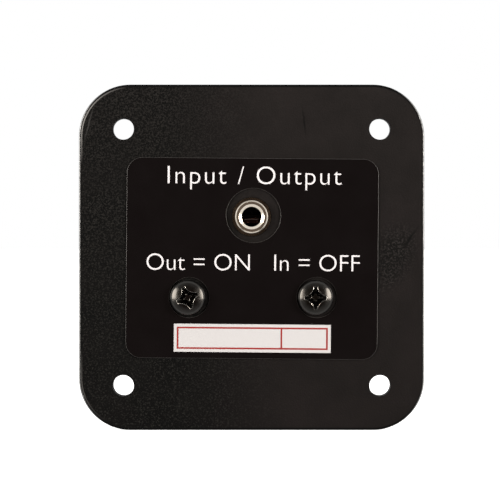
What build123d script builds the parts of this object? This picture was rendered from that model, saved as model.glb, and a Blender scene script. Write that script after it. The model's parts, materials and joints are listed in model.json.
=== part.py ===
from build123d import *
import os
from math import asin, atan, cos, radians, sin, sqrt, tan

# Panel mounted remote antenna switch, in millimetres.
# A plug pushed into the front jack presses the tip spring off the break contact, which takes the
# antenna away from the panel radio and gives it to the plug.
# Frame: +Z up, the face looks along -Y, +X to the right seen from the front. The origin is the
# centre of the four panel holes, on the back face of the plate.

# Fits shared by many pieces
thread_gap = 0.05  # radial, round a thread or a pressed sleeve
pass_gap = 0.2  # radial, round a screw or a bush that passes through a wall

# Face plate, whose holes have the pattern of a 2 1/4 inch instrument cut-out
panel_hole_spacing = 47.14
panel_hole_d = 3.9
panel_hole_margin = 8.18  # from a hole's axis to the plate's edge
plate_side = panel_hole_spacing + 2 * panel_hole_margin
plate_thick = 2.3
plate_corner_r = 9.5
plate_edge_r = 0.4

# Label film, which sits a little right of and below the middle of the plate
label_w = 46.1
label_h = 36.7
label_thick = 0.25
label_corner_r = 2.8
label_x = 0.1
label_z = -0.2
label_turn = 0.5  # degrees that the film sits askew, clockwise from the front
label_jack_x = 0.35  # the jack's hole in the film, off the jack's axis
label_jack_z = 0.25
label_jack_ring = 2.05  # bare plate round the jack bushing
label_head_x = 0.25  # the screw heads' holes in the film, off the screws' axes
label_head_ring = 0.5  # bare plate round a screw head

# Front screws, pan heads that hold the housing to the plate
screw_spacing = 23.45
screw_z = -7.37
screw_d = 3.5
screw_head_d = 6.5
screw_head_h = 2.2
screw_crown_r = 0.95 * screw_head_d
screw_head_edge_r = 0.9
screw_recess_rim = 1.18  # from the end of a recess arm to the head's edge
screw_recess_depth = 1.9
screw_tail = 3.4  # thread past the nut
screw_washer_d = 6.4
screw_washer_t = 0.8
screw_washer_split = 0.9
screw_nut_af = 7.9
screw_nut_t = 2.7
screw_turn = {"left": 22, "right": 0}  # degrees that each cross is turned

# Cross recess of a screw, as shares of its span
recess_waist_share = 0.28
recess_tip_share = 0.155
recess_floor_share = 0.3

# Jack
jack_z = 7.45
jack_bore_d = 3.7
bushing_wall = 1.15
bushing_d = jack_bore_d + 2 * bushing_wall
bushing_proud = 1.3  # past the front of the plate
bushing_mouth_w = 0.45
bushing_mouth_h = 0.3
bushing_rim_c = 0.22
bushing_hole_gap = 0.6  # radial, in the plate
bushing_flare_w = 0.5
bushing_flare_t = 0.7
jack_nut_wall = 1.0
jack_nut_af = bushing_d + 2 * jack_nut_wall
jack_nut_t = 1.7
jack_nut_sink = 0.3  # nut below the front of the housing
jack_pocket_gap = 0.5
jack_washer_w = 1.7
jack_washer_d = bushing_d + 2 * jack_washer_w
jack_washer_t = 0.5
washer_teeth = 10
washer_tooth_share = 0.45  # tooth depth as a share of the ring's width

# Jack frame and its contact stack
frame_t = 0.9
frame_w = 9.0
frame_up = 4.6  # above the jack's axis
frame_bend_r = 0.55
frame_top_r = 2.0
rivet_d = 1.6
rivet_head_d = 2.8
rivet_head_t = 0.6
rivet_head_gap = 0.2  # between the two heads
rivet_spacing = rivet_head_d + rivet_head_gap
stack_edge = 0.1  # layers past the rivet heads
stack_len = rivet_spacing + rivet_head_d + 2 * stack_edge
stack_w = 7.6
stack_corner_r = 0.6
insulator_t = 1.0
clamp_t = 0.8
collar_wall = 0.4  # insulating collar round a rivet
terminal_w = 2.4
terminal_end = 1.2  # terminal past its hole
ground_tab_len = 3.8
ground_tab_w = 3.0

# Tip spring and break contact
spring_t = 0.3
spring_w = 2.6
spring_root_gap = 0.05
spring_knee = 1.0  # from the root to the knee
spring_peak_reach = 8.2  # from the root to the peak
spring_peak_drop = 0.07  # peak of the centre line below the jack's axis, before it is rounded
spring_lip_back = 0.25
spring_lip_drop = 1.1
spring_bend_r = 0.25
spring_front_gap = 0.6  # between the hooked end and the bushing
break_t = 0.35
break_finger_w = 2.2
break_finger_end = 0.8  # finger past its contact button
button_r = 0.5
button_gap = 0.05

# Coaxial sockets, bayonet type
socket_spacing = 21.0
socket_drop = 13.8  # below the jack's axis
socket_barrel_d = 9.6
socket_barrel_len = 9.2
socket_barrel_wall = 0.7
socket_rim_c = 0.4
socket_mouth_d = socket_barrel_d - 2 * socket_barrel_wall
socket_mouth_depth = 7.0
socket_web_t = 1.0
socket_stud_d = 2.0
socket_stud_h = 0.7
socket_stud_span = socket_barrel_d + 2 * socket_stud_h
socket_stud_set = 4.8  # from the mouth
socket_flange_w = 2.0
socket_flange_d = socket_barrel_d + 2 * socket_flange_w
socket_flange_t = 1.6
socket_thread_step = 0.05  # thread below the barrel
socket_thread_d = socket_barrel_d - 2 * socket_thread_step
socket_shank_len = 7.6
socket_shank_wall = 1.45
socket_key_cut = 0.55  # depth of the flat on the shank
socket_key = socket_thread_d / 2 - socket_key_cut
socket_base_d = socket_thread_d - 2 * socket_shank_wall
socket_nose_gap = 1.7  # between the nose and the mouth
socket_nose_d = socket_mouth_d - 2 * socket_nose_gap
socket_nose_set = 1.0  # from the mouth
contact_d = 2.1
contact_set = 0.3  # from the end of the nose
contact_bore_d = 1.35
contact_bore_depth = 4.0
contact_slit = 0.25
cup_d = 2.5
cup_depth = 2.4
socket_washer_w = 1.55
socket_washer_d = socket_thread_d + 2 * socket_washer_w
socket_washer_t = 0.6
socket_nut_wall = 1.6
socket_nut_af = socket_thread_d + 2 * socket_nut_wall
socket_nut_t = 2.4
lug_w = 1.45
lug_d = socket_thread_d + 2 * lug_w
lug_t = 0.5
lug_tongue_w = 3.0
lug_tongue_end = 1.5  # tongue past its hole

# Leads inside the housing
lead_d = 1.1
lead_bend_r = 2.0
lead_gap = 0.15  # radial, in a terminal's hole or a cup
lead_exit = 0.5  # straight run between a cup and the bend
lead_end = 0.6  # lead past its terminal

# Housing and rear cover
housing_wall = 2.0
housing_corner_r = 5.0
housing_edge_c = 0.8
housing_side_room = 2.8  # round what the housing holds
housing_end_room = 2.6  # behind the jack
front_web = 1.4  # wall left under the jack nut
boss_d = 5.6
boss_sink = 0.4  # how far a boss runs into the walls
boss_len = 9.0
cover_t = 2.0
cover_edge_c = 0.5
cover_lip_h = 1.0
cover_lip_w = 1.2
cover_lip_gap = 0.2
cover_screw_d = 2.5
cover_screw_len = 8.0
cover_screw_head_d = 4.7
cover_screw_angle = 90
cover_recess_rim = 0.9
cover_recess_depth = 0.9
cover_screw_room = 1.0  # tapped hole past the end of a screw

# Places along the depth axis, from the front to the back
plate_front = -plate_thick
bushing_front = plate_front - bushing_proud
pocket_floor = jack_nut_sink + jack_nut_t
wall_inside = pocket_floor + front_web
frame_front = wall_inside + jack_washer_t
frame_back = frame_front + frame_t
flare_back = frame_back + bushing_flare_t
spring_root = flare_back + spring_front_gap + spring_peak_reach
stack_middle = spring_root + stack_len / 2
stack_back = spring_root + stack_len
terminal_y = spring_root + terminal_w / 2
ground_tab_y = stack_back + ground_tab_len / 2
cover_inside = stack_back + ground_tab_len + housing_end_room
cover_outside = cover_inside + cover_t
shank_end = cover_outside - socket_shank_len
flange_outside = cover_outside + socket_flange_t
mouth = flange_outside + socket_barrel_len
mouth_floor = mouth - socket_mouth_depth
web_inside = mouth_floor - socket_web_t
nose_end = mouth - socket_nose_set
cup_end = terminal_y + lead_bend_r + lead_exit
washer_inside = cover_inside - socket_washer_t
lug_inside = washer_inside - lug_t

# Places across the depth axis
screw_places = {"left": (-screw_spacing / 2, screw_z), "right": (screw_spacing / 2, screw_z)}
flare_r = bushing_d / 2 + bushing_flare_w
leg_top = jack_z - flare_r - frame_bend_r
spring_z = leg_top + insulator_t + spring_t / 2
peak_z = jack_z - spring_peak_drop
break_z = spring_z + spring_t / 2 + insulator_t
upper_z = break_z + break_t
clamp_z = upper_z + insulator_t
clamp_top = clamp_z + clamp_t
collar_r = rivet_d / 2 + thread_gap + collar_wall
socket_x = socket_spacing / 2
socket_z = jack_z - socket_drop
socket_nut_r = socket_nut_af / 2 / cos(radians(30))
cavity_w = 2 * (socket_x + socket_nut_r + housing_side_room)
cavity_h = 2 * (max(jack_z + frame_up, socket_nut_r - socket_z) + housing_side_room)
cavity_corner_r = housing_corner_r - housing_wall
housing_w = cavity_w + 2 * housing_wall
housing_h = cavity_h + 2 * housing_wall
boss_inset = boss_d / 2 - boss_sink
boss_pitch_x = cavity_w - 2 * boss_inset
boss_pitch_z = cavity_h - 2 * boss_inset

# Centre line of the tip spring, seen from the side
spring_slope = atan((peak_z - spring_z) / (spring_peak_reach - spring_knee))
knee_y = spring_root - spring_knee
peak_y = spring_root - spring_peak_reach
button_lift = (button_r + spring_t / 2 + button_gap) / cos(spring_slope)
button_y = knee_y - (break_z - spring_z - button_lift) / tan(spring_slope)


def across(depth):
    """Plane square to the depth axis, seen from the front. Extruding from it goes forwards."""
    return Plane.XZ.offset(-depth)


def beside(x, z):
    """Plane along the depth axis through (x, z), in which x is a radius and y is a depth."""
    return Plane(origin=(x, 0, z), x_dir=(1, 0, 0), z_dir=(0, 0, 1))


def depth_axis(x, z):
    return Axis((x, 0, z), (0, 1, 0))


def cross_recess(top_span, top, floor):
    """Cutter for a tapered cross recess with hollow sides, between two depths."""
    with BuildPart() as cutter:
        for span, level in ((top_span, top), (top_span * recess_floor_share, floor)):
            waist = span * recess_waist_share
            tip = span * recess_tip_share
            with BuildSketch(across(level)):
                with BuildLine():
                    for quarter in range(4):
                        turn = Rotation(0, 0, 90 * quarter)
                        start = (turn * Pos(span / 2, tip / 2)).position
                        middle = (turn * Rotation(0, 0, 45) * Pos(waist, 0)).position
                        end = (turn * Pos(tip / 2, span / 2)).position
                        after = (turn * Pos(-tip / 2, span / 2)).position
                        ThreePointArc(start, middle, end)
                        Line(end, after)
                make_face()
        loft(ruled=True)
    return cutter.part


def pan_screw(length):
    """Pan head screw on the depth axis, with the seat of its head at depth 0."""
    head_r = screw_head_d / 2
    crown_middle = screw_crown_r - screw_head_h
    edge_reach = screw_crown_r - screw_head_edge_r
    lean = asin((head_r - screw_head_edge_r) / edge_reach)
    crown_end = (screw_crown_r * sin(lean), crown_middle - screw_crown_r * cos(lean))
    side_end = (head_r, crown_middle - edge_reach * cos(lean))
    arm = head_r - screw_recess_rim
    arm_depth = screw_crown_r - sqrt(screw_crown_r**2 - arm**2)
    taper = (1 - recess_floor_share) / screw_recess_depth
    recess_span = 2 * arm / (1 - taper * arm_depth)
    recess = cross_recess(recess_span, -screw_head_h, screw_recess_depth - screw_head_h)
    with BuildPart() as screw:
        with BuildSketch(beside(0, 0)):
            with BuildLine():
                Polyline(
                    (0, -screw_head_h),
                    (0, length),
                    (screw_d / 2, length),
                    (screw_d / 2, 0),
                    (head_r, 0),
                    side_end,
                )
                RadiusArc(side_end, crown_end, screw_head_edge_r)
                RadiusArc(crown_end, (0, -screw_head_h), screw_crown_r)
            make_face()
        revolve(axis=Axis.Y)
        add(recess, mode=Mode.SUBTRACT)
    return screw.part


def flat_screw():
    """Countersunk screw on the depth axis, with the top of its head at depth 0, pointing forwards."""
    head_r = cover_screw_head_d / 2
    shank_r = cover_screw_d / 2
    head_h = (head_r - shank_r) / tan(radians(cover_screw_angle / 2))
    recess = cross_recess(cover_screw_head_d - 2 * cover_recess_rim, 0, cover_recess_depth)
    with BuildPart() as screw:
        with BuildSketch(beside(0, 0)):
            with BuildLine():
                Polyline(
                    (0, 0),
                    (head_r, 0),
                    (shank_r, head_h),
                    (shank_r, cover_screw_len),
                    (0, cover_screw_len),
                    close=True,
                )
            make_face()
        revolve(axis=Axis.Y)
        add(recess, mode=Mode.SUBTRACT)
    return screw.part


def toothed_washer(outer_r, inner_r, x, z, front, back):
    """Lock washer with teeth on its inner edge."""
    tooth = (outer_r - inner_r) * washer_tooth_share
    gap = radians(180 / washer_teeth) * inner_r
    with BuildPart() as washer:
        with BuildSketch(across(back)):
            with Locations((x, z)):
                Circle(outer_r)
                Circle(inner_r, mode=Mode.SUBTRACT)
                with PolarLocations(inner_r, washer_teeth):
                    Rectangle(2 * tooth, gap, mode=Mode.SUBTRACT)
        extrude(amount=back - front)
    return washer.part


def split_washer(outer_r, inner_r, x, z, front, back):
    """Spring lock washer, cut through at one place."""
    with BuildPart() as washer:
        with BuildSketch(across(back)):
            with Locations((x, z)):
                Circle(outer_r)
                Circle(inner_r, mode=Mode.SUBTRACT)
                Rectangle(
                    screw_washer_split,
                    outer_r,
                    align=(Align.CENTER, Align.MIN),
                    mode=Mode.SUBTRACT,
                )
        extrude(amount=back - front)
    return washer.part


def hex_nut(across_flats, inner_r, x, z, front, back):
    """Hexagon nut with its corners rounded off at both ends."""
    flat_r = across_flats / 2
    corner_r = flat_r / cos(radians(30))
    corner_h = (corner_r - flat_r) * tan(radians(30))
    with BuildPart() as nut:
        with BuildSketch(across(back)):
            with Locations((x, z)):
                RegularPolygon(flat_r, 6, major_radius=False)
                Circle(inner_r, mode=Mode.SUBTRACT)
        extrude(amount=back - front)
        with BuildSketch(beside(x, z)):
            with BuildLine():
                Polyline(
                    (0, front),
                    (flat_r, front),
                    (corner_r, front + corner_h),
                    (corner_r, back - corner_h),
                    (flat_r, back),
                    (0, back),
                    close=True,
                )
            make_face()
        revolve(axis=depth_axis(x, z), mode=Mode.INTERSECT)
    return nut.part


# Face plate
with BuildPart() as face_plate:
    with BuildSketch(across(0)):
        RectangleRounded(plate_side, plate_side, plate_corner_r)
        with GridLocations(panel_hole_spacing, panel_hole_spacing, 2, 2):
            Circle(panel_hole_d / 2, mode=Mode.SUBTRACT)
        with Locations((0, jack_z)):
            Circle(bushing_d / 2 + bushing_hole_gap, mode=Mode.SUBTRACT)
        with Locations(*screw_places.values()):
            Circle(screw_d / 2 + pass_gap, mode=Mode.SUBTRACT)
    extrude(amount=plate_thick)
    fillet(face_plate.faces().sort_by(Axis.Y)[0].outer_wire().edges(), plate_edge_r)

# Label film
with BuildPart() as face_label:
    with BuildSketch(across(plate_front)):
        with Locations((label_x, label_z)):
            RectangleRounded(label_w, label_h, label_corner_r, rotation=-label_turn)
        with Locations((label_jack_x, jack_z + label_jack_z)):
            Circle(bushing_d / 2 + label_jack_ring, mode=Mode.SUBTRACT)
        with Locations(*[(x + label_head_x, z) for x, z in screw_places.values()]):
            Circle(screw_head_d / 2 + label_head_ring, mode=Mode.SUBTRACT)
    extrude(amount=label_thick)

# Front screws with their lock washers and nuts
screw_nut_front = wall_inside + screw_washer_t
screw_nut_back = screw_nut_front + screw_nut_t
front_screw = pan_screw(screw_nut_back + screw_tail - plate_front)
screw_bore_r = screw_d / 2 + thread_gap
washers = [
    split_washer(screw_washer_d / 2, screw_bore_r, x, z, wall_inside, screw_nut_front)
    for x, z in screw_places.values()
]
nuts = [
    hex_nut(screw_nut_af, screw_bore_r, x, z, screw_nut_front, screw_nut_back)
    for x, z in screw_places.values()
]
with BuildPart() as front_screws:
    for side, (x, z) in screw_places.items():
        with Locations(Location((x, plate_front, z), (0, -screw_turn[side], 0))):
            add(front_screw)
with BuildPart() as front_screw_washers:
    add(washers)
with BuildPart() as front_screw_nuts:
    add(nuts)

# Housing, a box that is open at the back, with the jack nut sunk in its front wall
with BuildPart() as housing:
    with BuildSketch(across(cover_inside)):
        RectangleRounded(housing_w, housing_h, housing_corner_r)
    extrude(amount=cover_inside)
    chamfer(housing.faces().sort_by(Axis.Y)[0].outer_wire().edges(), housing_edge_c)
    with BuildSketch(across(cover_inside)):
        RectangleRounded(cavity_w, cavity_h, cavity_corner_r)
    extrude(amount=cover_inside - wall_inside, mode=Mode.SUBTRACT)
    with BuildSketch(across(cover_inside)):
        with GridLocations(boss_pitch_x, boss_pitch_z, 2, 2):
            Circle(boss_d / 2)
    extrude(amount=boss_len)
    with BuildSketch(across(cover_inside)):
        with GridLocations(boss_pitch_x, boss_pitch_z, 2, 2):
            Circle(cover_screw_d / 2 + thread_gap)
    extrude(amount=cover_screw_len - cover_t + cover_screw_room, mode=Mode.SUBTRACT)
    with BuildSketch(across(wall_inside)):
        with Locations((0, jack_z)):
            Circle(bushing_d / 2 + pass_gap)
        with Locations(*screw_places.values()):
            Circle(screw_d / 2 + pass_gap)
    extrude(amount=wall_inside, mode=Mode.SUBTRACT)
    with BuildSketch(across(pocket_floor)):
        with Locations((0, jack_z)):
            Circle(jack_nut_af / 2 / cos(radians(30)) + jack_pocket_gap)
    extrude(amount=pocket_floor, mode=Mode.SUBTRACT)

# Rear cover, with a lip inside the housing and keyed holes for the sockets
with BuildPart() as rear_cover:
    with BuildSketch(across(cover_outside)):
        RectangleRounded(housing_w, housing_h, housing_corner_r)
    extrude(amount=cover_t)
    chamfer(rear_cover.faces().sort_by(Axis.Y)[-1].outer_wire().edges(), cover_edge_c)
    with BuildSketch(across(cover_inside)):
        RectangleRounded(
            cavity_w - 2 * cover_lip_gap,
            cavity_h - 2 * cover_lip_gap,
            cavity_corner_r - cover_lip_gap,
        )
        offset(amount=-cover_lip_w, mode=Mode.SUBTRACT)
        with GridLocations(boss_pitch_x, boss_pitch_z, 2, 2):
            Circle(boss_d / 2 + cover_lip_gap, mode=Mode.SUBTRACT)
    extrude(amount=cover_lip_h)
    with BuildSketch(across(cover_outside)):
        for x in (-socket_x, socket_x):
            with Locations((x, socket_z)):
                Circle(socket_thread_d / 2 + pass_gap)
            with Locations((x, socket_z + socket_key + pass_gap)):
                Rectangle(
                    socket_thread_d,
                    socket_thread_d,
                    align=(Align.CENTER, Align.MIN),
                    mode=Mode.SUBTRACT,
                )
    extrude(amount=cover_t, mode=Mode.SUBTRACT)
    with Locations(Plane(origin=(0, cover_outside, 0), x_dir=(1, 0, 0), z_dir=(0, 1, 0))):
        with GridLocations(boss_pitch_x, boss_pitch_z, 2, 2):
            CounterSinkHole(
                cover_screw_d / 2 + pass_gap,
                cover_screw_head_d / 2 + thread_gap,
                counter_sink_angle=cover_screw_angle,
            )

# Cover screws
cover_screw = flat_screw()
with BuildPart() as cover_screws:
    with Locations(Plane(origin=(0, cover_outside, 0), x_dir=(1, 0, 0), z_dir=(0, 1, 0))):
        with GridLocations(boss_pitch_x, boss_pitch_z, 2, 2):
            add(cover_screw, rotation=(-90, 0, 0))

# Jack bushing, with a dished mouth, threaded outside and flared over behind the frame
with BuildPart() as jack_bushing:
    with BuildSketch(beside(0, jack_z)):
        with BuildLine():
            Polyline(
                (jack_bore_d / 2, bushing_front + bushing_mouth_h),
                (jack_bore_d / 2 + bushing_mouth_w, bushing_front),
                (bushing_d / 2 - bushing_rim_c, bushing_front),
                (bushing_d / 2, bushing_front + bushing_rim_c),
                (bushing_d / 2, frame_back),
                (flare_r, frame_back),
                (flare_r, flare_back),
                (jack_bore_d / 2, flare_back),
                close=True,
            )
        make_face()
    revolve(axis=depth_axis(0, jack_z))

bushing_thread_r = bushing_d / 2 + thread_gap
jack_nut = hex_nut(jack_nut_af, bushing_thread_r, 0, jack_z, jack_nut_sink, pocket_floor)
jack_washer = toothed_washer(jack_washer_d / 2, bushing_thread_r, 0, jack_z, wall_inside, frame_front)

# Jack frame, a bent strip that carries the bushing in front and the contact stack on its leg
with BuildPart() as jack_frame:
    with BuildSketch(Plane.YZ):
        with BuildLine():
            FilletPolyline(
                (frame_front + frame_t / 2, jack_z + frame_up),
                (frame_front + frame_t / 2, leg_top - frame_t / 2),
                (stack_back, leg_top - frame_t / 2),
                radius=frame_bend_r + frame_t / 2,
            )
        trace(line_width=frame_t)
    extrude(amount=frame_w / 2, both=True)
    fillet(jack_frame.faces().sort_by(Axis.Z)[-1].edges().filter_by(Axis.Y), frame_top_r)
    with BuildSketch(Plane.XY.offset(leg_top - frame_t)):
        with Locations((0, stack_back)):
            Rectangle(ground_tab_w, ground_tab_len, align=(Align.CENTER, Align.MIN))
        with Locations((0, ground_tab_y)):
            Circle(lead_d / 2 + lead_gap, mode=Mode.SUBTRACT)
    extrude(amount=frame_t)
    with BuildSketch(across(frame_back)):
        with Locations((0, jack_z)):
            Circle(bushing_thread_r)
    extrude(amount=frame_t, mode=Mode.SUBTRACT)
    with BuildSketch(Plane.XY.offset(leg_top - frame_t)):
        with Locations((0, stack_middle)):
            with GridLocations(0, rivet_spacing, 1, 2):
                Circle(rivet_d / 2 + thread_gap)
    extrude(amount=frame_t, mode=Mode.SUBTRACT)


def stack_layer(bottom, thick, hole_r, tab_x=0, finger_reach=0):
    """Layer of the contact stack. A terminal has a tab at tab_x, and may have a finger in front."""
    with BuildPart() as layer:
        with BuildSketch(Plane.XY.offset(bottom)):
            with Locations((0, stack_middle)):
                RectangleRounded(stack_w, stack_len, stack_corner_r)
            if tab_x:
                reach = tab_x + terminal_end * tab_x / abs(tab_x)
                with Locations((reach / 2, terminal_y)):
                    Rectangle(abs(reach), terminal_w)
                with Locations((tab_x, terminal_y)):
                    Circle(lead_d / 2 + lead_gap, mode=Mode.SUBTRACT)
            if finger_reach:
                with Locations((0, stack_middle)):
                    Rectangle(
                        break_finger_w, stack_len / 2 + finger_reach, align=(Align.CENTER, Align.MAX)
                    )
            with Locations((0, stack_middle)):
                with GridLocations(0, rivet_spacing, 1, 2):
                    Circle(hole_r, mode=Mode.SUBTRACT)
        extrude(amount=thick)
    return layer.part


def insulator(bottom, collar_h):
    """Insulating layer whose collars keep the rivets away from the terminal above it."""
    plate = stack_layer(bottom, insulator_t, rivet_d / 2 + thread_gap)
    with BuildPart() as layer:
        add(plate)
        if collar_h:
            with BuildSketch(Plane.XY.offset(bottom + insulator_t)):
                with Locations((0, stack_middle)):
                    with GridLocations(0, rivet_spacing, 1, 2):
                        Circle(collar_r)
                        Circle(rivet_d / 2 + thread_gap, mode=Mode.SUBTRACT)
            extrude(amount=collar_h)
    return layer.part


# Contact stack on the leg of the frame, from the leg upwards
lower_insulator = insulator(leg_top, spring_t)
tip_terminal = stack_layer(spring_z - spring_t / 2, spring_t, collar_r + thread_gap, tab_x=-socket_x)
middle_insulator = insulator(spring_z + spring_t / 2, break_t)
break_plate = stack_layer(
    break_z,
    break_t,
    collar_r + thread_gap,
    tab_x=socket_x,
    finger_reach=spring_root - button_y + break_finger_end,
)
with BuildPart() as break_contact:
    add(break_plate)
    with Locations((0, button_y, break_z)):
        Sphere(button_r)
    with BuildSketch(Plane.XY.offset(break_z + break_t)):
        with Locations((0, button_y)):
            Circle(button_r + break_t)
    extrude(amount=button_r, mode=Mode.SUBTRACT)
upper_insulator = insulator(upper_z, 0)
stack_clamp = stack_layer(clamp_z, clamp_t, rivet_d / 2 + thread_gap)
with BuildPart() as stack_rivets:
    with Locations((0, stack_middle)):
        with GridLocations(0, rivet_spacing, 1, 2):
            with Locations((0, 0, leg_top - frame_t)):
                Cylinder(rivet_head_d / 2, rivet_head_t, align=(Align.CENTER, Align.CENTER, Align.MAX))
                Cylinder(
                    rivet_d / 2,
                    clamp_top - leg_top + frame_t,
                    align=(Align.CENTER, Align.CENTER, Align.MIN),
                )
            with Locations((0, 0, clamp_top)):
                Cylinder(rivet_head_d / 2, rivet_head_t, align=(Align.CENTER, Align.CENTER, Align.MIN))

# Tip spring, the leaf with a hooked end that the plug presses down off the break contact
with BuildPart() as tip_spring:
    with BuildSketch(Plane.YZ):
        with BuildLine():
            FilletPolyline(
                (spring_root - spring_root_gap, spring_z),
                (knee_y, spring_z),
                (peak_y, peak_z),
                (peak_y + spring_lip_back, peak_z - spring_lip_drop),
                radius=spring_bend_r,
            )
        trace(line_width=spring_t)
    extrude(amount=spring_w / 2, both=True)


def socket_body(x):
    """Shell of a coaxial socket: keyed shank, flange, and barrel with two bayonet studs."""
    with BuildPart() as body:
        with BuildSketch(beside(x, socket_z)):
            with BuildLine():
                Polyline(
                    (socket_base_d / 2 + thread_gap, shank_end),
                    (socket_thread_d / 2, shank_end),
                    (socket_thread_d / 2, cover_outside),
                    (socket_flange_d / 2, cover_outside),
                    (socket_flange_d / 2, flange_outside),
                    (socket_barrel_d / 2, flange_outside),
                    (socket_barrel_d / 2, mouth - socket_rim_c),
                    (socket_barrel_d / 2 - socket_rim_c, mouth),
                    (socket_mouth_d / 2, mouth),
                    (socket_mouth_d / 2, mouth_floor),
                    (socket_nose_d / 2 + thread_gap, mouth_floor),
                    (socket_nose_d / 2 + thread_gap, web_inside),
                    (socket_base_d / 2 + thread_gap, web_inside),
                    close=True,
                )
            make_face()
        revolve(axis=depth_axis(x, socket_z))
        with BuildSketch(across(cover_outside)):
            with Locations((x, socket_z + socket_key)):
                Rectangle(socket_thread_d, socket_thread_d, align=(Align.CENTER, Align.MIN))
        extrude(amount=socket_shank_len, mode=Mode.SUBTRACT)
        stud_foot = (socket_barrel_d + socket_mouth_d) / 4
        for side in (-1, 1):
            with BuildSketch(Plane.XY.offset(socket_z + side * stud_foot)):
                with Locations((x, mouth - socket_stud_set)):
                    Circle(socket_stud_d / 2)
            extrude(amount=side * (socket_stud_span / 2 - stud_foot))
    return body.part


def socket_insulator(x):
    """Insulator of a socket, pushed in from the back of the shank up to the web."""
    with BuildPart() as body:
        with BuildSketch(beside(x, socket_z)):
            with BuildLine():
                Polyline(
                    (contact_d / 2 + thread_gap, shank_end),
                    (socket_base_d / 2, shank_end),
                    (socket_base_d / 2, web_inside),
                    (socket_nose_d / 2, web_inside),
                    (socket_nose_d / 2, nose_end),
                    (contact_d / 2 + thread_gap, nose_end),
                    close=True,
                )
            make_face()
        revolve(axis=depth_axis(x, socket_z))
    return body.part


def socket_contact(x):
    """Centre contact of a socket: slit receptacle in the nose, solder cup behind the insulator."""
    contact_end = nose_end - contact_set
    with BuildPart() as body:
        with BuildSketch(beside(x, socket_z)):
            with BuildLine():
                Polyline(
                    (0, cup_end + cup_depth),
                    (lead_d / 2 + lead_gap, cup_end + cup_depth),
                    (lead_d / 2 + lead_gap, cup_end),
                    (cup_d / 2, cup_end),
                    (cup_d / 2, shank_end),
                    (contact_d / 2, shank_end),
                    (contact_d / 2, contact_end),
                    (contact_bore_d / 2, contact_end),
                    (contact_bore_d / 2, contact_end - contact_bore_depth),
                    (0, contact_end - contact_bore_depth),
                    close=True,
                )
            make_face()
        revolve(axis=depth_axis(x, socket_z))
        with BuildSketch(across(contact_end)):
            with Locations((x, socket_z)):
                Rectangle(contact_d, contact_slit)
                Rectangle(contact_slit, contact_d)
        extrude(amount=contact_bore_depth, mode=Mode.SUBTRACT)
    return body.part


def signal_lead(x, top):
    """Lead from a socket's solder cup up through the hole of a jack terminal."""
    with BuildPart() as lead:
        with BuildLine(Plane.YZ.offset(x)) as route:
            FilletPolyline(
                (cup_end + cup_depth - lead_gap, socket_z),
                (terminal_y, socket_z),
                (terminal_y, top + lead_end),
                radius=lead_bend_r,
            )
        with BuildSketch(Plane(origin=route.line @ 0, z_dir=route.line % 0)):
            Circle(lead_d / 2)
        sweep()
    return lead.part


# Ground lug under the antenna socket's nut, and the lead from it to the jack frame
with BuildPart() as ground_lug:
    with BuildSketch(across(washer_inside)):
        with Locations((-socket_x, socket_z)):
            Circle(lug_d / 2)
            Rectangle(socket_x + lug_tongue_end, lug_tongue_w, align=(Align.MIN, Align.CENTER))
            Circle(socket_thread_d / 2 + thread_gap, mode=Mode.SUBTRACT)
        with Locations((0, socket_z)):
            Circle(lead_d / 2 + lead_gap, mode=Mode.SUBTRACT)
    extrude(amount=lug_t)
with BuildPart() as ground_lead:
    with BuildLine(Plane.YZ) as ground_route:
        FilletPolyline(
            (washer_inside + socket_washer_t / 2, socket_z),
            (ground_tab_y, socket_z),
            (ground_tab_y, leg_top + lead_end),
            radius=lead_bend_r,
        )
    with BuildSketch(Plane(origin=ground_route.line @ 0, z_dir=ground_route.line % 0)):
        Circle(lead_d / 2)
    sweep()

nodes = {
    "face_plate": face_plate.part,
    "face_label": face_label.part,
    "front_screws": front_screws.part,
    "front_screw_washers": front_screw_washers.part,
    "front_screw_nuts": front_screw_nuts.part,
    "housing": housing.part,
    "rear_cover": rear_cover.part,
    "cover_screws": cover_screws.part,
    "jack_bushing": jack_bushing.part,
    "jack_nut": jack_nut,
    "jack_lock_washer": jack_washer,
    "jack_frame": jack_frame.part,
    "lower_insulator": lower_insulator,
    "tip_terminal": tip_terminal,
    "middle_insulator": middle_insulator,
    "break_contact": break_contact.part,
    "upper_insulator": upper_insulator,
    "stack_clamp": stack_clamp,
    "stack_rivets": stack_rivets.part,
    "tip_spring": tip_spring.part,
    "ground_lug": ground_lug.part,
    "ground_lead": ground_lead.part,
}
shank_r = socket_thread_d / 2 + thread_gap
for name, x, nut_seat, terminal_top in (
    ("antenna", -socket_x, lug_inside, spring_z + spring_t / 2),
    ("radio", socket_x, washer_inside, break_z + break_t),
):
    nodes[f"{name}_socket_body"] = socket_body(x)
    nodes[f"{name}_socket_insulator"] = socket_insulator(x)
    nodes[f"{name}_socket_contact"] = socket_contact(x)
    nodes[f"{name}_socket_washer"] = toothed_washer(
        socket_washer_d / 2, shank_r, x, socket_z, washer_inside, cover_inside
    )
    nodes[f"{name}_socket_nut"] = hex_nut(
        socket_nut_af, shank_r, x, socket_z, nut_seat - socket_nut_t, nut_seat
    )
    nodes[f"{name}_lead"] = signal_lead(x, terminal_top)

os.makedirs("parts", exist_ok=True)
for name, part in nodes.items():
    part.label = name
    export_step(part, f"parts/{name}.step")
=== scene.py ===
import json
from math import cos, pi, radians, sin

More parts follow.
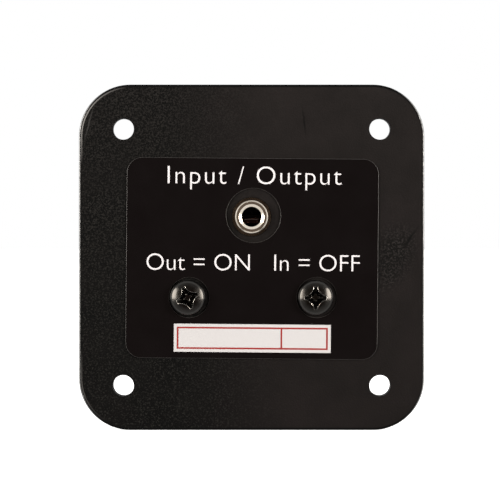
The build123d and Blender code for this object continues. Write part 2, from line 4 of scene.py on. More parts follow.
import bpy
from mathutils import Matrix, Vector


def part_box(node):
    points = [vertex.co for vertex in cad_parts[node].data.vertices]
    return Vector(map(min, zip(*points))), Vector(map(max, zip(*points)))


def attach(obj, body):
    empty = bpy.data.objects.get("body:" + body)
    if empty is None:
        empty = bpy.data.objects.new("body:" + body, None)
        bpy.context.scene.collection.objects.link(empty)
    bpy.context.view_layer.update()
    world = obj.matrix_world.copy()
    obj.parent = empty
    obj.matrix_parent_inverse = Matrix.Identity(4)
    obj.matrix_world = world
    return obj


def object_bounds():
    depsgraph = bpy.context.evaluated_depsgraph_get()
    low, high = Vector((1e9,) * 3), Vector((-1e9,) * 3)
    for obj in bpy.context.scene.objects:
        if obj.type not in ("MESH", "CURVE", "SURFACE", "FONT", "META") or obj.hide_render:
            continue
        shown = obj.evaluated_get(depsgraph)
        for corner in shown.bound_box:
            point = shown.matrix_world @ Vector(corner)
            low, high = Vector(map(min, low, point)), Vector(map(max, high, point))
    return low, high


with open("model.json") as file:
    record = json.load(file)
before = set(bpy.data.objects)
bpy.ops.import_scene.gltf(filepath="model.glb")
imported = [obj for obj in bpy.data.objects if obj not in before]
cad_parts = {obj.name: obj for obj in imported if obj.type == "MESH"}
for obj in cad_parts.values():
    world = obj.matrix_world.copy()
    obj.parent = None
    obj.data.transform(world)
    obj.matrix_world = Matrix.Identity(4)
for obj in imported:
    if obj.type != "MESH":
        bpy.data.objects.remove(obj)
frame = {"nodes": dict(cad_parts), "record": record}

# Looks of a panel mounted remote antenna switch, in metres, in the frame of the solids: +Z up, the face
# looks along -Y. A pair of lengths or levels says where something starts and where it is full.

cad_box = [list(corner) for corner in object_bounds()]
mm = 0.001

# Where the plate lies in the picture, in pixels, fitted to the photograph
photo_side_px = 500
hole_spacing_px = 256.7
hole_centre_px = (251.6, 257.35)

# Camera, square to the face
camera_distance = 300 * mm
camera_rise = 5 * mm  # above the middle of the view
sensor_width_mm = 36

# Softboxes beside the face, given by their angle off the face's axis
softbox_distance = 420 * mm
softbox_width = 200 * mm
softbox_height = 250 * mm
softbox_warmth = (1.0, 0.94, 0.86)
softboxes = {
    "left_softbox": {"angle": -57, "rise": 75 * mm, "watts": 2.3},
    "right_softbox": {"angle": 57, "rise": 75 * mm, "watts": 2.5},
}

# Surroundings: a white tent round the part, with a dim brown room behind the camera
tent_light = (0.9, 0.9, 0.9)
room_light = (0.11, 0.084, 0.068)
tent_depth = (-0.8, -0.5)  # depth of a direction, from -1 towards the camera
floor_size = 4.0
floor_glow = 0.8
floor_white = (0.88, 0.88, 0.88), (0.92, 0.92, 0.92)

# Coat of the plate: pits and peaks on the left. Painted light flattens the coat on the right and makes
# it brighter from the bottom to the top
# The near black of the pits and scuffs, also painted as shade along the edges and round the holes
coat_pit_and_shade = (0.0002, 0.0002, 0.0002)
coat_peak = (0.014, 0.0136, 0.0122), (0.0142, 0.0129, 0.0121)
# Painted light: the flattened coat on the right, brighter at the top than at the bottom
coat_painted_flat_lit = (0.0091, 0.0069, 0.0068), (0.0117, 0.0095, 0.0092)
coat_painted_light_span = (-30 * mm, 30 * mm)
coat_pores = (0.515, 0.695)  # levels of the pores' noise that make pits and peaks
coat_pits_filled_by_painted_light = 0.075  # added to that noise at the top
# Painted light: where the grain is flattened towards the right
coat_painted_flat_way = (1, 0, 0.1)
coat_painted_flat_span = (-13 * mm, 4 * mm)
coat_painted_flat_most = 0.82
coat_cloud = (0.0032, 0.0027, 0.0025)
coat_rub = (0.028, 0.026, 0.0245)

# Marks on the coat, and a painted glint
mark_sway = 0.5 * mm
mark_sway_grain = 2 * mm
coat_scuffs = [
    {"middle": (9.9 * mm, -2.3 * mm, 25.2 * mm), "length": 6.5 * mm, "width": 0.5 * mm, "turn": 97},
    {"middle": (29.2 * mm, -2.3 * mm, 3.6 * mm), "length": 7.5 * mm, "width": 0.7 * mm, "turn": 52},
]
scuffed_patch = {
    "middle": (25.5 * mm, -2.3 * mm, 0),
    "length": 16 * mm,
    "width": 10 * mm,
    "turn": 60,
}
scuffed_peak = (0.03, 0.0268, 0.026)
scuffed_share = 0.8
scuffed_levels = (0, 0.6)
# Painted highlight: a glint near the plate's upper left corner
painted_glint_shape = {
    "middle": (-29.62 * mm, -2.3 * mm, 24.8 * mm),
    "length": 8 * mm,
    "width": 0.4 * mm,
    "turn": 74,
}
painted_glint_light = (0.036, 0.0345, 0.034)

# Edges of the plate, with painted shade along the rounded edge and round the holes
plate_corner = 9.5 * mm
# Painted shade: a dark line round the holes and a dark band along the rounded edge
hole_shade_line = 0.3 * mm  # dark line round the holes
rim_inset = (0.58 * mm, 0.38 * mm)  # of the rounded edge, from the outline
rim_gloss = 4.5
rim_polish = 0.4
face_gloss = 0.09
face_turn = (0.6, 0.95)  # how far a surface faces front or back, from 0 on the side walls to 1
wall_turn = (0.05, 0.3)
wall_gloss = 0.3

# Painted highlight along the plate's left corners, stronger in the upper one
corner_painted_highlight = (0.2, 0.195, 0.19)
corner_inset = 0.54 * mm
corner_width = 0.28 * mm
corner_aside = (23 * mm, 31.6 * mm)
corner_up_or_down = (17 * mm, 24 * mm)
corner_way = (-1, 0, 0.6)
corner_share = (8 * mm, 42 * mm)  # along corner_way

# Tip spring of the jack, coloured near black as painted shade of the deep bore, with a painted highlight
# line just below its crest
spring_painted_shade = (0.06, 0.033, 0.036), (0.042, 0.022, 0.026)
crest_painted_highlight = (0.38, 0.36, 0.42)
highlight_depth = 0.36 * mm  # below the crest
highlight_width = 0.16 * mm

# Colours of the other finishes. The first of two shows where the finish's noise is low.
film_black = (0.0023, 0.0016, 0.0019), (0.003, 0.0021, 0.0025)
film_dust = (0.03, 0.027, 0.026)
film_edge_grey = (0.01, 0.009, 0.009), (0.05, 0.046, 0.044)
oxide_black = (0.032, 0.0302, 0.0277), (0.05, 0.047, 0.0434)
oxide_rubbed = (0.9, 0.86, 0.8)
alloy_grey = (0.36, 0.36, 0.355), (0.48, 0.48, 0.47)
alloy_skin = (0.28, 0.28, 0.28)
alloy_rubbed = (0.66, 0.66, 0.65)
zinc_cast = (0.6, 0.58, 0.5), (0.54, 0.57, 0.6)
zinc_rubbed = (0.75, 0.74, 0.72)
laminate_brown = (0.12, 0.05, 0.018), (0.21, 0.1, 0.04)
laminate_fibre = (0.3, 0.17, 0.08)
insulator_white = (0.74, 0.73, 0.69), (0.84, 0.83, 0.8)
tones = {
    "white_ink": ((0.64, 0.625, 0.65), (0.68, 0.665, 0.69)),
    "cream_ink": ((0.49, 0.484, 0.496), (0.53, 0.522, 0.534)),
    "red_ink": ((0.23, 0.015, 0.013), (0.3, 0.025, 0.022)),
    "black_sleeve": ((0.015, 0.015, 0.015), (0.03, 0.03, 0.03)),
    "red_sleeve": ((0.36, 0.02, 0.015), (0.5, 0.035, 0.025)),
    "blue_sleeve": ((0.02, 0.055, 0.24), (0.035, 0.09, 0.34)),
    # Bronze inside the jack, darkened as painted shade of the deep bore
    "bronze_painted_dark": ((0.52, 0.38, 0.26), (0.36, 0.25, 0.16)),
    "dark_zinc": ((0.04, 0.038, 0.036), (0.025, 0.024, 0.023)),
    "nickel_strip": ((0.66, 0.62, 0.55), (0.52, 0.48, 0.42)),
    "jack_nickel": ((0.86, 0.78, 0.67), (0.66, 0.58, 0.48)),
    "dull_nickel": ((0.3, 0.25, 0.2), (0.2, 0.165, 0.13)),
    "socket_nickel": ((0.72, 0.69, 0.63), (0.56, 0.53, 0.48)),
    "socket_gold": ((0.86, 0.6, 0.24), (0.72, 0.47, 0.17)),
}

# Printing on the label film
ink_thick = 0.02 * mm
letter_cap_share = 0.73  # height of a capital in the built-in letters
letter_thinning = 0.05 * mm  # taken off the strokes on each side
print_x = 0.25 * mm
print_lines = {
    "title_print": {
        "words": "Input / Output",
        "base_z": 13.43 * mm,
        "cap": 3.5 * mm,
        "spacing": 1.13,
    },
    "legend_print": {
        "words": "Out = ON   In = OFF",
        "base_z": -2.45 * mm,
        "cap": 3.25 * mm,
        "spacing": 1.0,
    },
}
strip_w = 28.8 * mm
strip_h = 5.15 * mm
strip_z = -14.85 * mm
strip_inset = 0.55 * mm
strip_line_w = 0.3 * mm
strip_field_share = 0.68  # of the left field in the strip's width

# Label film, a little askew, and its cut edges
film_w = 46.1 * mm
film_h = 36.7 * mm
film_middle = (0.1 * mm, -0.2 * mm)
film_turn = -0.5  # degrees, turned clockwise
film_corner_r = 2.8 * mm
film_edge_r = 0.07 * mm
film_jack_hole = (0.35 * mm, 7.7 * mm)
film_jack_hole_r = 5.05 * mm
film_screw_holes = {"left": (-11.475 * mm, -7.37 * mm), "right": (11.975 * mm, -7.37 * mm)}
film_screw_hole_r = 3.75 * mm
arc_steps = 12
circle_steps = 96
bead_steps = 2


# Small chains of shader nodes


def new_material(name, **settings):
    """Material whose Principled shader has the settings given, with spaces for underscores."""
    made = bpy.data.materials.new(name)
    made.use_nodes = True
    shader = made.node_tree.nodes["Principled BSDF"]
    for key, value in settings.items():
        shader.inputs[key.replace("_", " ")].default_value = value
    return made, shader


def add_node(tree, kind, inputs=None, **options):
    """Node with its options set. An input is linked if it is a socket, and set if it is a value."""
    node = tree.nodes.new(kind)
    for key, value in options.items():
        setattr(node, key, value)
    for key, value in (inputs or {}).items():
        if isinstance(value, bpy.types.NodeSocket):
            tree.links.new(value, node.inputs[key])
        else:
            node.inputs[key].default_value = value
    return node


def calculate(tree, operation, *values):
    return add_node(tree, "ShaderNodeMath", dict(enumerate(values)), operation=operation).outputs[0]


def calculate_vector(tree, operation, *values, output="Vector"):
    inputs = dict(enumerate(values))
    return add_node(tree, "ShaderNodeVectorMath", inputs, operation=operation).outputs[output]


def place(tree, stretch=(1, 1, 1), origin=(0, 0, 0)):
    """Position on the part, in metres from the origin given and stretched along the axes."""
    where = add_node(tree, "ShaderNodeTexCoord").outputs["Object"]
    shift = [-part * factor for part, factor in zip(origin, stretch)]
    return add_node(
        tree, "ShaderNodeMapping", {"Vector": where, "Scale": stretch, "Location": shift}
    ).outputs["Vector"]


def along(tree, way, where=None):
    """How far a point of the part lies along a direction, in metres."""
    return calculate_vector(tree, "DOT_PRODUCT", where or place(tree), way, output="Value")


def noise(tree, grain, detail=3.0, rough=0.5, **where):
    """Noise from 0 to 1 whose grain is a length in metres."""
    return add_node(
        tree,
        "ShaderNodeTexNoise",
        {"Vector": place(tree, **where), "Scale": 1 / grain, "Detail": detail, "Roughness": rough},
    ).outputs["Fac"]


def turned_rings(tree, pitch, axis_point):
    """Tool marks round a line along Y through the point given."""
    rings_per_unit = 20 / (2 * pi)  # the wave texture turns through 20 radians in a unit
    return add_node(
        tree,
        "ShaderNodeTexWave",
        {
            "Vector": place(tree, origin=axis_point),
            "Scale": 1 / (pitch * rings_per_unit),
            "Distortion": 0.0,
        },
        wave_type="RINGS",
        rings_direction="Y",
    ).outputs["Fac"]


def streak(tree, middle, length, width, turn):
    """1 along the middle of a mark or of a painted glint on the face, fading to 0 at its rim."""
    wander = add_node(
        tree, "ShaderNodeTexNoise", {"Vector": place(tree), "Scale": 1 / mark_sway_grain}
    ).outputs["Color"]
    sway = (mark_sway, mark_sway, mark_sway)
    inside = add_node(
        tree,
        "ShaderNodeMapping",
        {
            "Vector": calculate_vector(tree, "MULTIPLY_ADD", wander, sway, place(tree)),
            "Location": middle,
            "Rotation": (0, radians(-turn), 0),
            "Scale": (length / 2, length, width / 2),
        },
        vector_type="TEXTURE",
    ).outputs["Vector"]
    return add_node(
        tree, "ShaderNodeTexGradient", {"Vector": inside}, gradient_type="SPHERICAL"
    ).outputs["Fac"]


def spread(tree, fac, to=(0, 1), levels=(0.3, 0.7)):
    """The part of fac between two levels, spread from one value to another."""
    return add_node(
        tree,
        "ShaderNodeMapRange",
        {"Value": fac, "From Min": levels[0], "From Max": levels[1], "To Min": to[0], "To Max": to[1]},
    ).outputs["Result"]


def band(tree, value, middle, width):
    """1 where the value is within a band, fading to 0 at its two rims."""
    above = spread(tree, value, levels=(middle - width / 2, middle - width / 4))
    below = spread(tree, value, to=(1, 0), levels=(middle + width / 4, middle + width / 2))
    return calculate(tree, "MULTIPLY", above, below)


def blend_colours(tree, fac, first, second):
    node = add_node(tree, "ShaderNodeMix", {"Factor": fac}, data_type="RGBA")
    for socket, value in ((node.inputs[6], first), (node.inputs[7], second)):
        if isinstance(value, bpy.types.NodeSocket):
            tree.links.new(value, socket)
        else:
            socket.default_value = (*value, 1)
    return node.outputs[2]


def rounded_normal(tree, radius, samples=6):
    return add_node(tree, "ShaderNodeBevel", {"Radius": radius}, samples=samples).outputs["Normal"]


def edges(tree, width):
    """1 on sharp edges and 0 on faces, fading over the width given."""
    flat = add_node(tree, "ShaderNodeNewGeometry").outputs["Normal"]
    alike = calculate_vector(tree, "DOT_PRODUCT", rounded_normal(tree, width), flat, output="Value")
    return spread(tree, alike, to=(1, 0), levels=(0.8, 0.99))


def bump(tree, height, depth, strength, under=None):
    inputs = {"Height": height, "Distance": depth, "Strength": strength}
    if under:
        inputs["Normal"] = under
    return add_node(tree, "ShaderNodeBump", inputs).outputs["Normal"]


def feed(tree, shader, **sockets):
    for key, socket in sockets.items():
        tree.links.new(socket, shader.inputs[key.replace("_", " ")])


# Coat of the plate


def mirrored_place(tree):
    """Position on the face, with all four quarters laid on the upper right one."""
    return calculate_vector(tree, "ABSOLUTE", calculate_vector(tree, "MULTIPLY", place(tree), (1, 0, 1)))


def corner_run(tree, quarter):
    """Distance outwards from the square between the centres of the plate's corners, in metres."""
    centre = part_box("face_plate")[1].x - plate_corner
    past = calculate_vector(tree, "SUBTRACT", quarter, (centre, 0, centre))
    outside = calculate_vector(tree, "MAXIMUM", past, (0, 0, 0))
    return calculate_vector(tree, "LENGTH", outside, output="Value")


def painted_corner_highlight(tree, quarter, run):
    """1 along the painted highlight line in the plate's left corners."""
    line = band(tree, run, plate_corner - corner_inset, corner_width)
    for way, where, reach in (
        ((1, 0, 0), quarter, corner_aside),
        ((0, 0, 1), quarter, corner_up_or_down),
        (corner_way, None, corner_share),
    ):
        line = calculate(tree, "MULTIPLY", line, spread(tree, along(tree, way, where), levels=reach))
    return line


def coat_colour(tree, pores):
    """Colour of the coat on the plate's face, with its marks, painted light, a painted glint and painted
    shade round the holes.
    """
    # Painted light: brighter towards the top, and the grain flattened towards the right
    painted_rise_light = spread(tree, along(tree, (0, 0, 1)), levels=coat_painted_light_span)
    painted_flat_light = spread(tree, along(tree, coat_painted_flat_way), to=(0, coat_painted_flat_most), levels=coat_painted_flat_span)
    shifted = calculate(tree, "MULTIPLY_ADD", painted_rise_light, coat_pits_filled_by_painted_light, pores)
    raised = spread(tree, shifted, levels=coat_pores)
    patch = spread(tree, streak(tree, **scuffed_patch), to=(0, scuffed_share), levels=scuffed_levels)
    clouds = noise(tree, grain=7 * mm, detail=4, rough=0.6)
    clouded = spread(tree, clouds, to=(0, 0.5), levels=(0.35, 0.7))
    rubs = noise(tree, grain=1.6 * mm, detail=5, stretch=(1, 1, 0.22))
    rubbed = spread(tree, rubs, to=(0, 0.12), levels=(0.66, 0.8))

    colour = blend_colours(tree, raised, coat_pit_and_shade, blend_colours(tree, painted_rise_light, *coat_peak))
    colour = blend_colours(tree, painted_flat_light, colour, blend_colours(tree, painted_rise_light, *coat_painted_flat_lit))
    colour = blend_colours(tree, patch, colour, blend_colours(tree, raised, coat_pit_and_shade, scuffed_peak))
    colour = blend_colours(tree, clouded, colour, coat_cloud)
    colour = blend_colours(tree, rubbed, colour, coat_rub)
    for mark in coat_scuffs:
        colour = blend_colours(tree, streak(tree, **mark), colour, coat_pit_and_shade)
    # Painted highlight: the glint near the upper left corner
    colour = blend_colours(tree, streak(tree, **painted_glint_shape), colour, painted_glint_light)
    # Painted shade: darker round the edges of the holes
    return blend_colours(tree, edges(tree, hole_shade_line), colour, coat_pit_and_shade)


def textured_coat():
    """Fine textured black coat of the plate, glossy along its rounded edge, with painted light and shade
    in its colour.
    """
    made, shader = new_material("black_textured_coat")
    tree = made.node_tree
    pores = noise(tree, grain=0.32 * mm, detail=4)
    quarter = mirrored_place(tree)
    run = corner_run(tree, quarter)
    rim = spread(tree, run, levels=[plate_corner - inset for inset in rim_inset])
    # Painted shade: a dark band along the rounded edge
    colour = blend_colours(tree, rim, coat_colour(tree, pores), coat_pit_and_shade)
    # Painted highlight: a light line in the plate's left corners
    colour = blend_colours(tree, painted_corner_highlight(tree, quarter, run), colour, corner_painted_highlight)

    normal = add_node(tree, "ShaderNodeNewGeometry").outputs["Normal"]
    turned = calculate_vector(tree, "ABSOLUTE", normal)
    sides = add_node(tree, "ShaderNodeSeparateXYZ", {"Vector": turned}).outputs
    sheen = calculate(tree, "MULTIPLY", rim, spread(tree, sides["X"]))
    sheen = calculate(tree, "MULTIPLY", sheen, spread(tree, sides["Y"], levels=wall_turn))
    on_face = spread(tree, sides["Y"], to=(0, face_gloss), levels=face_turn)
    on_wall = spread(tree, sides["Y"], to=(wall_gloss, 0), levels=wall_turn)
    gloss = calculate(tree, "ADD", on_face, on_wall)
    grain = spread(tree, pores, to=(0.6, 0.8))
    feed(
        tree,
        shader,
        Base_Color=colour,
        Specular_IOR_Level=calculate(tree, "MULTIPLY_ADD", sheen, rim_gloss, gloss),
        Roughness=calculate(tree, "MULTIPLY_ADD", sheen, -rim_polish, grain),
        Normal=bump(tree, pores, depth=0.05 * mm, strength=0.9),
    )
    return made


# Other finishes


def label_film():
    """Smooth black film, printed from behind."""
    made, shader = new_material("black_film", Specular_IOR_Level=0.4)
    tree = made.node_tree
    clouds = noise(tree, grain=6 * mm, detail=3)
    dust = noise(tree, grain=0.5 * mm, detail=6)
    dusty = spread(tree, dust, to=(0, 0.5), levels=(0.72, 0.85))
    feed(
        tree,
        shader,
        Base_Color=blend_colours(tree, dusty, blend_colours(tree, clouds, *film_black), film_dust),
        Roughness=spread(tree, clouds, to=(0.18, 0.24)),
    )
    return made


def film_edge():
    """Clear cut edge of the film, dull and grey against the black."""
    made, shader = new_material("film_cut_edge", Specular_IOR_Level=0.6)
    tree = made.node_tree
    nicks = noise(tree, grain=1.2 * mm, detail=4)
    feed(
        tree,
        shader,
        Base_Color=blend_colours(tree, nicks, *film_edge_grey),
        Roughness=spread(tree, nicks, to=(0.25, 0.4)),
    )
    return made


def ink(name):
    """Screen printed ink, a little uneven."""
    made, shader = new_material(name, Specular_IOR_Level=0.3)
    tree = made.node_tree
    speckle = noise(tree, grain=0.25 * mm, detail=3)
    feed(
        tree,
        shader,
        Base_Color=blend_colours(tree, speckle, *tones[name]),
        Roughness=spread(tree, speckle, to=(0.45, 0.6)),
    )
    return made


def black_oxide():
    """Oiled black screws whose recess edges are rubbed bright."""
    made, shader = new_material("black_oxide", Metallic=1.0, Coat_Weight=0.2, Coat_Roughness=0.15)
    tree = made.node_tree
    patches = noise(tree, grain=0.9 * mm, detail=4)
    wear = spread(tree, noise(tree, grain=0.8 * mm, detail=2), to=(0.12, 1), levels=(0.44, 0.6))
    rubbed = calculate(tree, "MULTIPLY", edges(tree, width=0.2 * mm), wear)
    rounded = rounded_normal(tree, radius=0.16 * mm, samples=8)
    feed(
        tree,
        shader,
        Base_Color=blend_colours(tree, rubbed, blend_colours(tree, patches, *oxide_black), oxide_rubbed),
        Roughness=spread(tree, patches, to=(0.17, 0.25)),
        Normal=bump(tree, noise(tree, grain=0.2 * mm), depth=0.004 * mm, strength=0.4, under=rounded),
    )
    return made


def bright_metal(name, tone, axis_point):
    """Plated or bare turned metal, with tool marks round an axis and dulled patches."""
    made, shader = new_material(name, Metallic=1.0)
    tree = made.node_tree
    rings = turned_rings(tree, pitch=0.12 * mm, axis_point=axis_point)
    patches = noise(tree, grain=1.8 * mm, detail=5)
    feed(
        tree,
        shader,
        Base_Color=blend_colours(tree, spread(tree, patches, to=(0, 0.7)), *tones[tone]),
        Roughness=spread(tree, patches, to=(0.14, 0.3)),
        Normal=bump(tree, rings, depth=0.002 * mm, strength=0.2),
    )
    return made


def cast_alloy():
    """Tumbled die casting, brighter along its edges."""
    made, shader = new_material("cast_alloy", Metallic=1.0)
    tree = made.node_tree
    skin = noise(tree, grain=0.45 * mm, detail=5)
    flow = noise(tree, grain=9 * mm, detail=4, stretch=(1, 0.4, 1))
    colour = blend_colours(tree, spread(tree, flow), *alloy_grey)
    colour = blend_colours(tree, spread(tree, skin, to=(0, 0.35)), colour, alloy_skin)
    feed(
        tree,
        shader,
        Base_Color=blend_colours(tree, edges(tree, width=0.5 * mm), colour, alloy_rubbed),
        Roughness=spread(tree, skin, to=(0.36, 0.52)),
        Normal=bump(tree, skin, depth=0.02 * mm, strength=0.6),
    )
    return made


def zinc_plate():
    """Plated steel hardware with a faint yellow and blue cast."""
    made, shader = new_material("zinc_plate", Metallic=1.0)
    tree = made.node_tree
    cast = noise(tree, grain=1.4 * mm, detail=3)
    colour = blend_colours(tree, spread(tree, cast), *zinc_cast)
    feed(
        tree,
        shader,
        Base_Color=blend_colours(tree, edges(tree, width=0.08 * mm), colour, zinc_rubbed),
        Roughness=spread(tree, cast, to=(0.24, 0.38)),
        Normal=bump(tree, noise(tree, grain=0.3 * mm), depth=0.008 * mm, strength=0.4),
    )
    return made


def rolled_strip(name):
    """Spring strip, drawn along its length."""
    made, shader = new_material(name, Metallic=1.0)
    tree = made.node_tree
    lines = noise(tree, grain=0.25 * mm, detail=4, stretch=(1, 0.06, 1))
    patches = noise(tree, grain=2 * mm)
    rounded = rounded_normal(tree, radius=0.1 * mm)
    feed(
        tree,
        shader,
        Base_Color=blend_colours(tree, spread(tree, patches), *tones[name]),
        Roughness=spread(tree, lines, to=(0.2, 0.36)),
        Normal=bump(tree, lines, depth=0.005 * mm, strength=0.5, under=rounded),
    )
    return made


def shaded_strip_with_highlight():
    """Spring strip coloured near black as painted shade, with a painted highlight line just below its
    crest.
    """
    made, shader = new_material("bronze_painted_shade", Metallic=1.0)
    tree = made.node_tree
    lines = noise(tree, grain=0.25 * mm, detail=4, stretch=(1, 0.06, 1))
    patches = noise(tree, grain=1 * mm)
    height = add_node(tree, "ShaderNodeSeparateXYZ", {"Vector": place(tree)}).outputs["Z"]
    # Painted highlight: a bright line just below the crest
    crest_highlight = band(tree, height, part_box("tip_spring")[1].z - highlight_depth, highlight_width)
    # Painted shade: the strip is near black, deep in the bore
    dark = blend_colours(tree, spread(tree, patches), *spring_painted_shade)
    feed(
        tree,
        shader,
        Base_Color=blend_colours(tree, crest_highlight, dark, crest_painted_highlight),
        Roughness=spread(tree, lines, to=(0.24, 0.4)),
        Normal=bump(tree, lines, depth=0.005 * mm, strength=0.5),
    )
    return made


def laminate():
    """Brown paper laminate with fine layers and fibres."""
    made, shader = new_material("brown_laminate")
    tree = made.node_tree
    layers = noise(tree, grain=0.2 * mm, detail=2, stretch=(0.05, 0.05, 1))
    fibres = noise(tree, grain=0.4 * mm, detail=5, stretch=(1, 0.2, 1))
    fibrous = spread(tree, fibres, to=(0, 0.4), levels=(0.5, 0.8))
    layered = blend_colours(tree, layers, *laminate_brown)
    feed(
        tree,
        shader,
        Base_Color=blend_colours(tree, fibrous, layered, laminate_fibre),
        Roughness=spread(tree, fibres, to=(0.4, 0.6)),
        Normal=bump(tree, fibres, depth=0.01 * mm, strength=0.4),
    )
    return made


def white_insulator(axis_point):
    """Turned white fluoropolymer."""
    made, shader = new_material("white_insulator", Subsurface_Weight=0.15, Subsurface_Scale=0.5 * mm)
    tree = made.node_tree
    rings = turned_rings(tree, pitch=0.16 * mm, axis_point=axis_point)
    clouds = noise(tree, grain=1.5 * mm)
    feed(
        tree,
        shader,
        Base_Color=blend_colours(tree, clouds, *insulator_white),
        Roughness=spread(tree, clouds, to=(0.4, 0.52)),
        Normal=bump(tree, rings, depth=0.005 * mm, strength=0.5),
    )
    return made


def sleeve(name):
    """Extruded sleeve of a lead."""
    made, shader = new_material(name)
    tree = made.node_tree
    haze = noise(tree, grain=0.8 * mm, detail=4)
    feed(
        tree,
        shader,
        Base_Color=blend_colours(tree, haze, *tones[name]),
        Roughness=spread(tree, haze, to=(0.32, 0.46)),
        Normal=bump(tree, haze, depth=0.01 * mm, strength=0.3),
    )
    return made


def pale_floor():
    """White paper that glows a little."""
    made, shader = new_material("pale_floor", Emission_Strength=floor_glow)
    tree = made.node_tree
    paper = noise(tree, grain=30 * mm, detail=3)
    colour = blend_colours(tree, paper, *floor_white)
    feed(
        tree,
        shader,
        Base_Color=colour,
        Emission_Color=colour,
        Roughness=spread(tree, paper, to=(0.7, 0.8)),
    )
    return made


# Pieces of the printing and the film, drawn in a plane whose x and y are the face's x and z


def rounded_outline(low, high, radius):
    """Points of a rectangle with round corners, given by two opposite corners."""
    points = []
    for quarter in range(4):
        middle_x = high[0] - radius if quarter in (0, 3) else low[0] + radius
        middle_z = high[1] - radius if quarter in (0, 1) else low[1] + radius
        for step in range(arc_steps + 1):
            turn = pi / 2 * (quarter + step / arc_steps)
            points.append((middle_x + radius * cos(turn), middle_z + radius * sin(turn)))
    return points


def circle_outline(centre, radius):
    turns = [2 * pi * step / circle_steps for step in range(circle_steps)]
    return [(centre[0] + radius * cos(turn), centre[1] + radius * sin(turn)) for turn in turns]


def rectangle_outline(low, high):
    return [low, (high[0], low[1]), high, (low[0], high[1])]


def add_outline(curve, points):
    spline = curve.splines.new("POLY")
    spline.points.add(len(points) - 1)
    for point, (x, z) in zip(spline.points, points):
        point.co = (x, z, 0, 1)
    spline.use_cyclic_u = True


def askew():
    """Turn about the middle of the film, in the plane of the drawing."""
    middle = Matrix.Translation((*film_middle, 0))
    return middle @ Matrix.Rotation(radians(film_turn), 4, "Z") @ middle.inverted()


def face_piece(name, curve, depth, finish, lay):
    """Mesh piece made from a curve, laid on the face at the depth given, riding on the switch."""
    drawn = bpy.data.objects.new(name + ".drawn", curve)
    bpy.context.scene.collection.objects.link(drawn)
    mesh = bpy.data.meshes.new_from_object(drawn.evaluated_get(bpy.context.evaluated_depsgraph_get()))
    bpy.data.objects.remove(drawn)
    mesh.transform(Matrix.Translation((0, depth, 0)) @ Matrix.Rotation(radians(90), 4, "X") @ lay)
    mesh.materials.clear()
    mesh.materials.append(finish)
    piece = bpy.data.objects.new(name, mesh)
    bpy.context.scene.collection.objects.link(piece)
    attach(piece, "switch")


def edge_bead(name, outline, depth, finish, lay):
    """Thin round bead along a cut edge of the film."""
    bead = bpy.data.curves.new(name, "CURVE")
    bead.bevel_depth = film_edge_r
    bead.bevel_resolution = bead_steps
    add_outline(bead, outline)
    face_piece(name, bead, depth, finish, lay)


def printed_area(name, outlines, depth, finish):
    """Flat patch of ink. A second outline inside the first one leaves a hole."""
    patch = bpy.data.curves.new(name, "CURVE")
    patch.dimensions = "2D"
    patch.fill_mode = "BOTH"
    patch.extrude = ink_thick / 2
    for outline in outlines:
        add_outline(patch, outline)
    face_piece(name, patch, depth - ink_thick / 2, finish, askew())


def printed_words(name, words, base_z, cap, spacing, depth, finish):
    letters = bpy.data.curves.new(name, "FONT")
    letters.body = words
    letters.align_x = "CENTER"
    letters.space_character = spacing
    letters.size = cap / letter_cap_share
    letters.extrude = ink_thick / 2
    letters.offset = -letter_thinning
    letters.offset_x = print_x
    letters.offset_y = base_z
    face_piece(name, letters, depth - ink_thick / 2, finish, askew())


def dress_film_edges(front):
    """Beads along the cut edges of the film."""
    edge = film_edge()
    depth = front + film_edge_r
    low = (film_middle[0] - film_w / 2, film_middle[1] - film_h / 2)
    high = (film_middle[0] + film_w / 2, film_middle[1] + film_h / 2)
    edge_bead("film_outer_edge", rounded_outline(low, high, film_corner_r), depth, edge, askew())
    jack_outline = circle_outline(film_jack_hole, film_jack_hole_r)
    edge_bead("film_jack_edge", jack_outline, depth, edge, Matrix())
    for side, hole in film_screw_holes.items():
        outline = circle_outline(hole, film_screw_hole_r)
        edge_bead(f"film_{side}_screw_edge", outline, depth, edge, Matrix())


def dress_print(front):
    """Words, and a strip to write on with two framed fields."""
    white = ink("white_ink")
    for name, line in print_lines.items():
        printed_words(name, **line, depth=front, finish=white)

    low = (print_x - strip_w / 2, strip_z - strip_h / 2)
    high = (print_x + strip_w / 2, strip_z + strip_h / 2)
    printed_area("write_on_strip", [rectangle_outline(low, high)], front, ink("cream_ink"))
    red = ink("red_ink")
    strip_front = front - ink_thick
    outer_low = (low[0] + strip_inset, low[1] + strip_inset)
    outer_high = (high[0] - strip_inset, high[1] - strip_inset)
    inner_low = (outer_low[0] + strip_line_w, outer_low[1] + strip_line_w)
    inner_high = (outer_high[0] - strip_line_w, outer_high[1] - strip_line_w)
    outlines = [rectangle_outline(outer_low, outer_high), rectangle_outline(inner_low, inner_high)]
    printed_area("strip_frame", outlines, strip_front, red)
    divider_x = low[0] + strip_w * strip_field_share
    divider = rectangle_outline((divider_x, inner_low[1]), (divider_x + strip_line_w, inner_high[1]))
    printed_area("strip_divider", [divider], strip_front, red)


# Finishes of the solids


def axis_of(node):
    """Middle of a node that is turned round a line along Y."""
    low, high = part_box(node)
    return (low + high) / 2


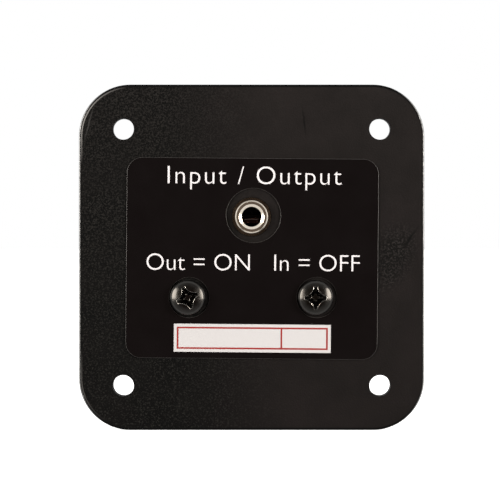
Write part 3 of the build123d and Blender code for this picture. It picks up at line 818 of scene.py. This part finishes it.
def dress_solids():
    """A finish for every solid."""
    jack_axis = axis_of("jack_bushing")
    zinc = zinc_plate()
    alloy = cast_alloy()
    brown = laminate()
    bronze = rolled_strip("bronze_painted_dark")
    dark_zinc = rolled_strip("dark_zinc")
    strip_nickel = rolled_strip("nickel_strip")
    finishes = {
        "face_plate": textured_coat(),
        "face_label": label_film(),
        "front_screws": black_oxide(),
        "front_screw_washers": zinc,
        "front_screw_nuts": zinc,
        "housing": alloy,
        "rear_cover": alloy,
        "cover_screws": zinc,
        "jack_bushing": bright_metal("jack_nickel", "jack_nickel", jack_axis),
        "jack_nut": bright_metal("dull_nickel", "dull_nickel", jack_axis),
        "jack_lock_washer": zinc,
        "jack_frame": strip_nickel,
        "lower_insulator": brown,
        "tip_terminal": bronze,
        "middle_insulator": brown,
        "break_contact": bronze,
        "upper_insulator": brown,
        "stack_clamp": dark_zinc,
        "stack_rivets": dark_zinc,
        "tip_spring": shaded_strip_with_highlight(),
        "ground_lug": strip_nickel,
        "ground_lead": sleeve("black_sleeve"),
        "antenna_lead": sleeve("red_sleeve"),
        "radio_lead": sleeve("blue_sleeve"),
    }
    for side in ("antenna", "radio"):
        axis = axis_of(f"{side}_socket_body")
        nickel = bright_metal(f"{side}_nickel", "socket_nickel", axis)
        finishes[f"{side}_socket_body"] = nickel
        finishes[f"{side}_socket_nut"] = nickel
        finishes[f"{side}_socket_washer"] = zinc
        finishes[f"{side}_socket_insulator"] = white_insulator(axis)
        finishes[f"{side}_socket_contact"] = bright_metal(f"{side}_gold", "socket_gold", axis)
    for node, finish in finishes.items():
        slots = frame["nodes"][node].data.materials
        slots.clear()
        slots.append(finish)


# Stage, light and camera


def add_floor():
    """Pale floor under the lowest point of the part."""
    mesh = bpy.data.meshes.new("floor")
    reach = floor_size / 2
    level = cad_box[0][2]
    corners = [(x, y, level) for x, y in rectangle_outline((-reach, -reach), (reach, reach))]
    mesh.from_pydata(corners, [], [(0, 1, 2, 3)])
    mesh.materials.append(pale_floor())
    floor = bpy.data.objects.new("floor", mesh)
    floor.visible_glossy = False
    floor.visible_diffuse = False
    bpy.context.scene.collection.objects.link(floor)


def add_softbox(name, angle, rise, watts):
    """Softbox beside the face, aimed at its middle."""
    light = bpy.data.lights.new(name, "AREA")
    light.shape = "RECTANGLE"
    light.size = softbox_width
    light.size_y = softbox_height
    light.energy = watts
    light.color = softbox_warmth
    box = bpy.data.objects.new(name, light)
    bpy.context.scene.collection.objects.link(box)
    turn = radians(angle)
    box.location = (softbox_distance * sin(turn), -softbox_distance * cos(turn), rise)
    box.rotation_euler = (-box.location).to_track_quat("-Z", "Y").to_euler()
    box.visible_camera = False


def add_world():
    """White to the camera. The part is lit by a white tent, open towards the camera's dim room."""
    world = bpy.data.worlds.new("studio")
    world.use_nodes = True
    tree = world.node_tree
    tree.nodes.clear()
    direction = add_node(tree, "ShaderNodeTexCoord").outputs["Generated"]
    depth = add_node(tree, "ShaderNodeSeparateXYZ", {"Vector": direction}).outputs["Y"]
    around = blend_colours(tree, spread(tree, depth, levels=tent_depth), room_light, tent_light)
    lit = add_node(tree, "ShaderNodeBackground", {"Color": around})
    seen = add_node(tree, "ShaderNodeBackground", {"Color": (1, 1, 1, 1)})
    eye = add_node(tree, "ShaderNodeLightPath").outputs["Is Camera Ray"]
    both = add_node(
        tree,
        "ShaderNodeMixShader",
        {0: eye, 1: lit.outputs["Background"], 2: seen.outputs["Background"]},
    )
    add_node(tree, "ShaderNodeOutputWorld", {"Surface": both.outputs["Shader"]})
    bpy.context.scene.world = world


def add_camera():
    """Camera square to the face, at the photograph's scale and framing."""
    holes = next(mount for mount in frame["record"]["mounts"] if mount["name"] == "panel_holes")
    scale = holes["dims"]["spacing_x_mm"] * mm / hole_spacing_px
    view_width = photo_side_px * scale
    middle_px = photo_side_px / 2
    lens = bpy.data.cameras.new("camera")
    lens.sensor_width = sensor_width_mm
    lens.lens = sensor_width_mm * camera_distance / view_width
    lens.shift_y = -camera_rise / view_width
    camera = bpy.data.objects.new("camera", lens)
    bpy.context.scene.collection.objects.link(camera)
    camera.location = (
        (middle_px - hole_centre_px[0]) * scale,
        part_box("face_plate")[0].y - camera_distance,
        (hole_centre_px[1] - middle_px) * scale + camera_rise,
    )
    camera.rotation_euler = (radians(90), 0, 0)
    bpy.context.scene.camera = camera


dress_solids()
label_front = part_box("face_label")[0].y
dress_film_edges(label_front)
dress_print(label_front)
add_floor()
for softbox, settings in softboxes.items():
    add_softbox(softbox, **settings)
add_world()
add_camera()
bpy.context.scene.view_settings.view_transform = "Standard"
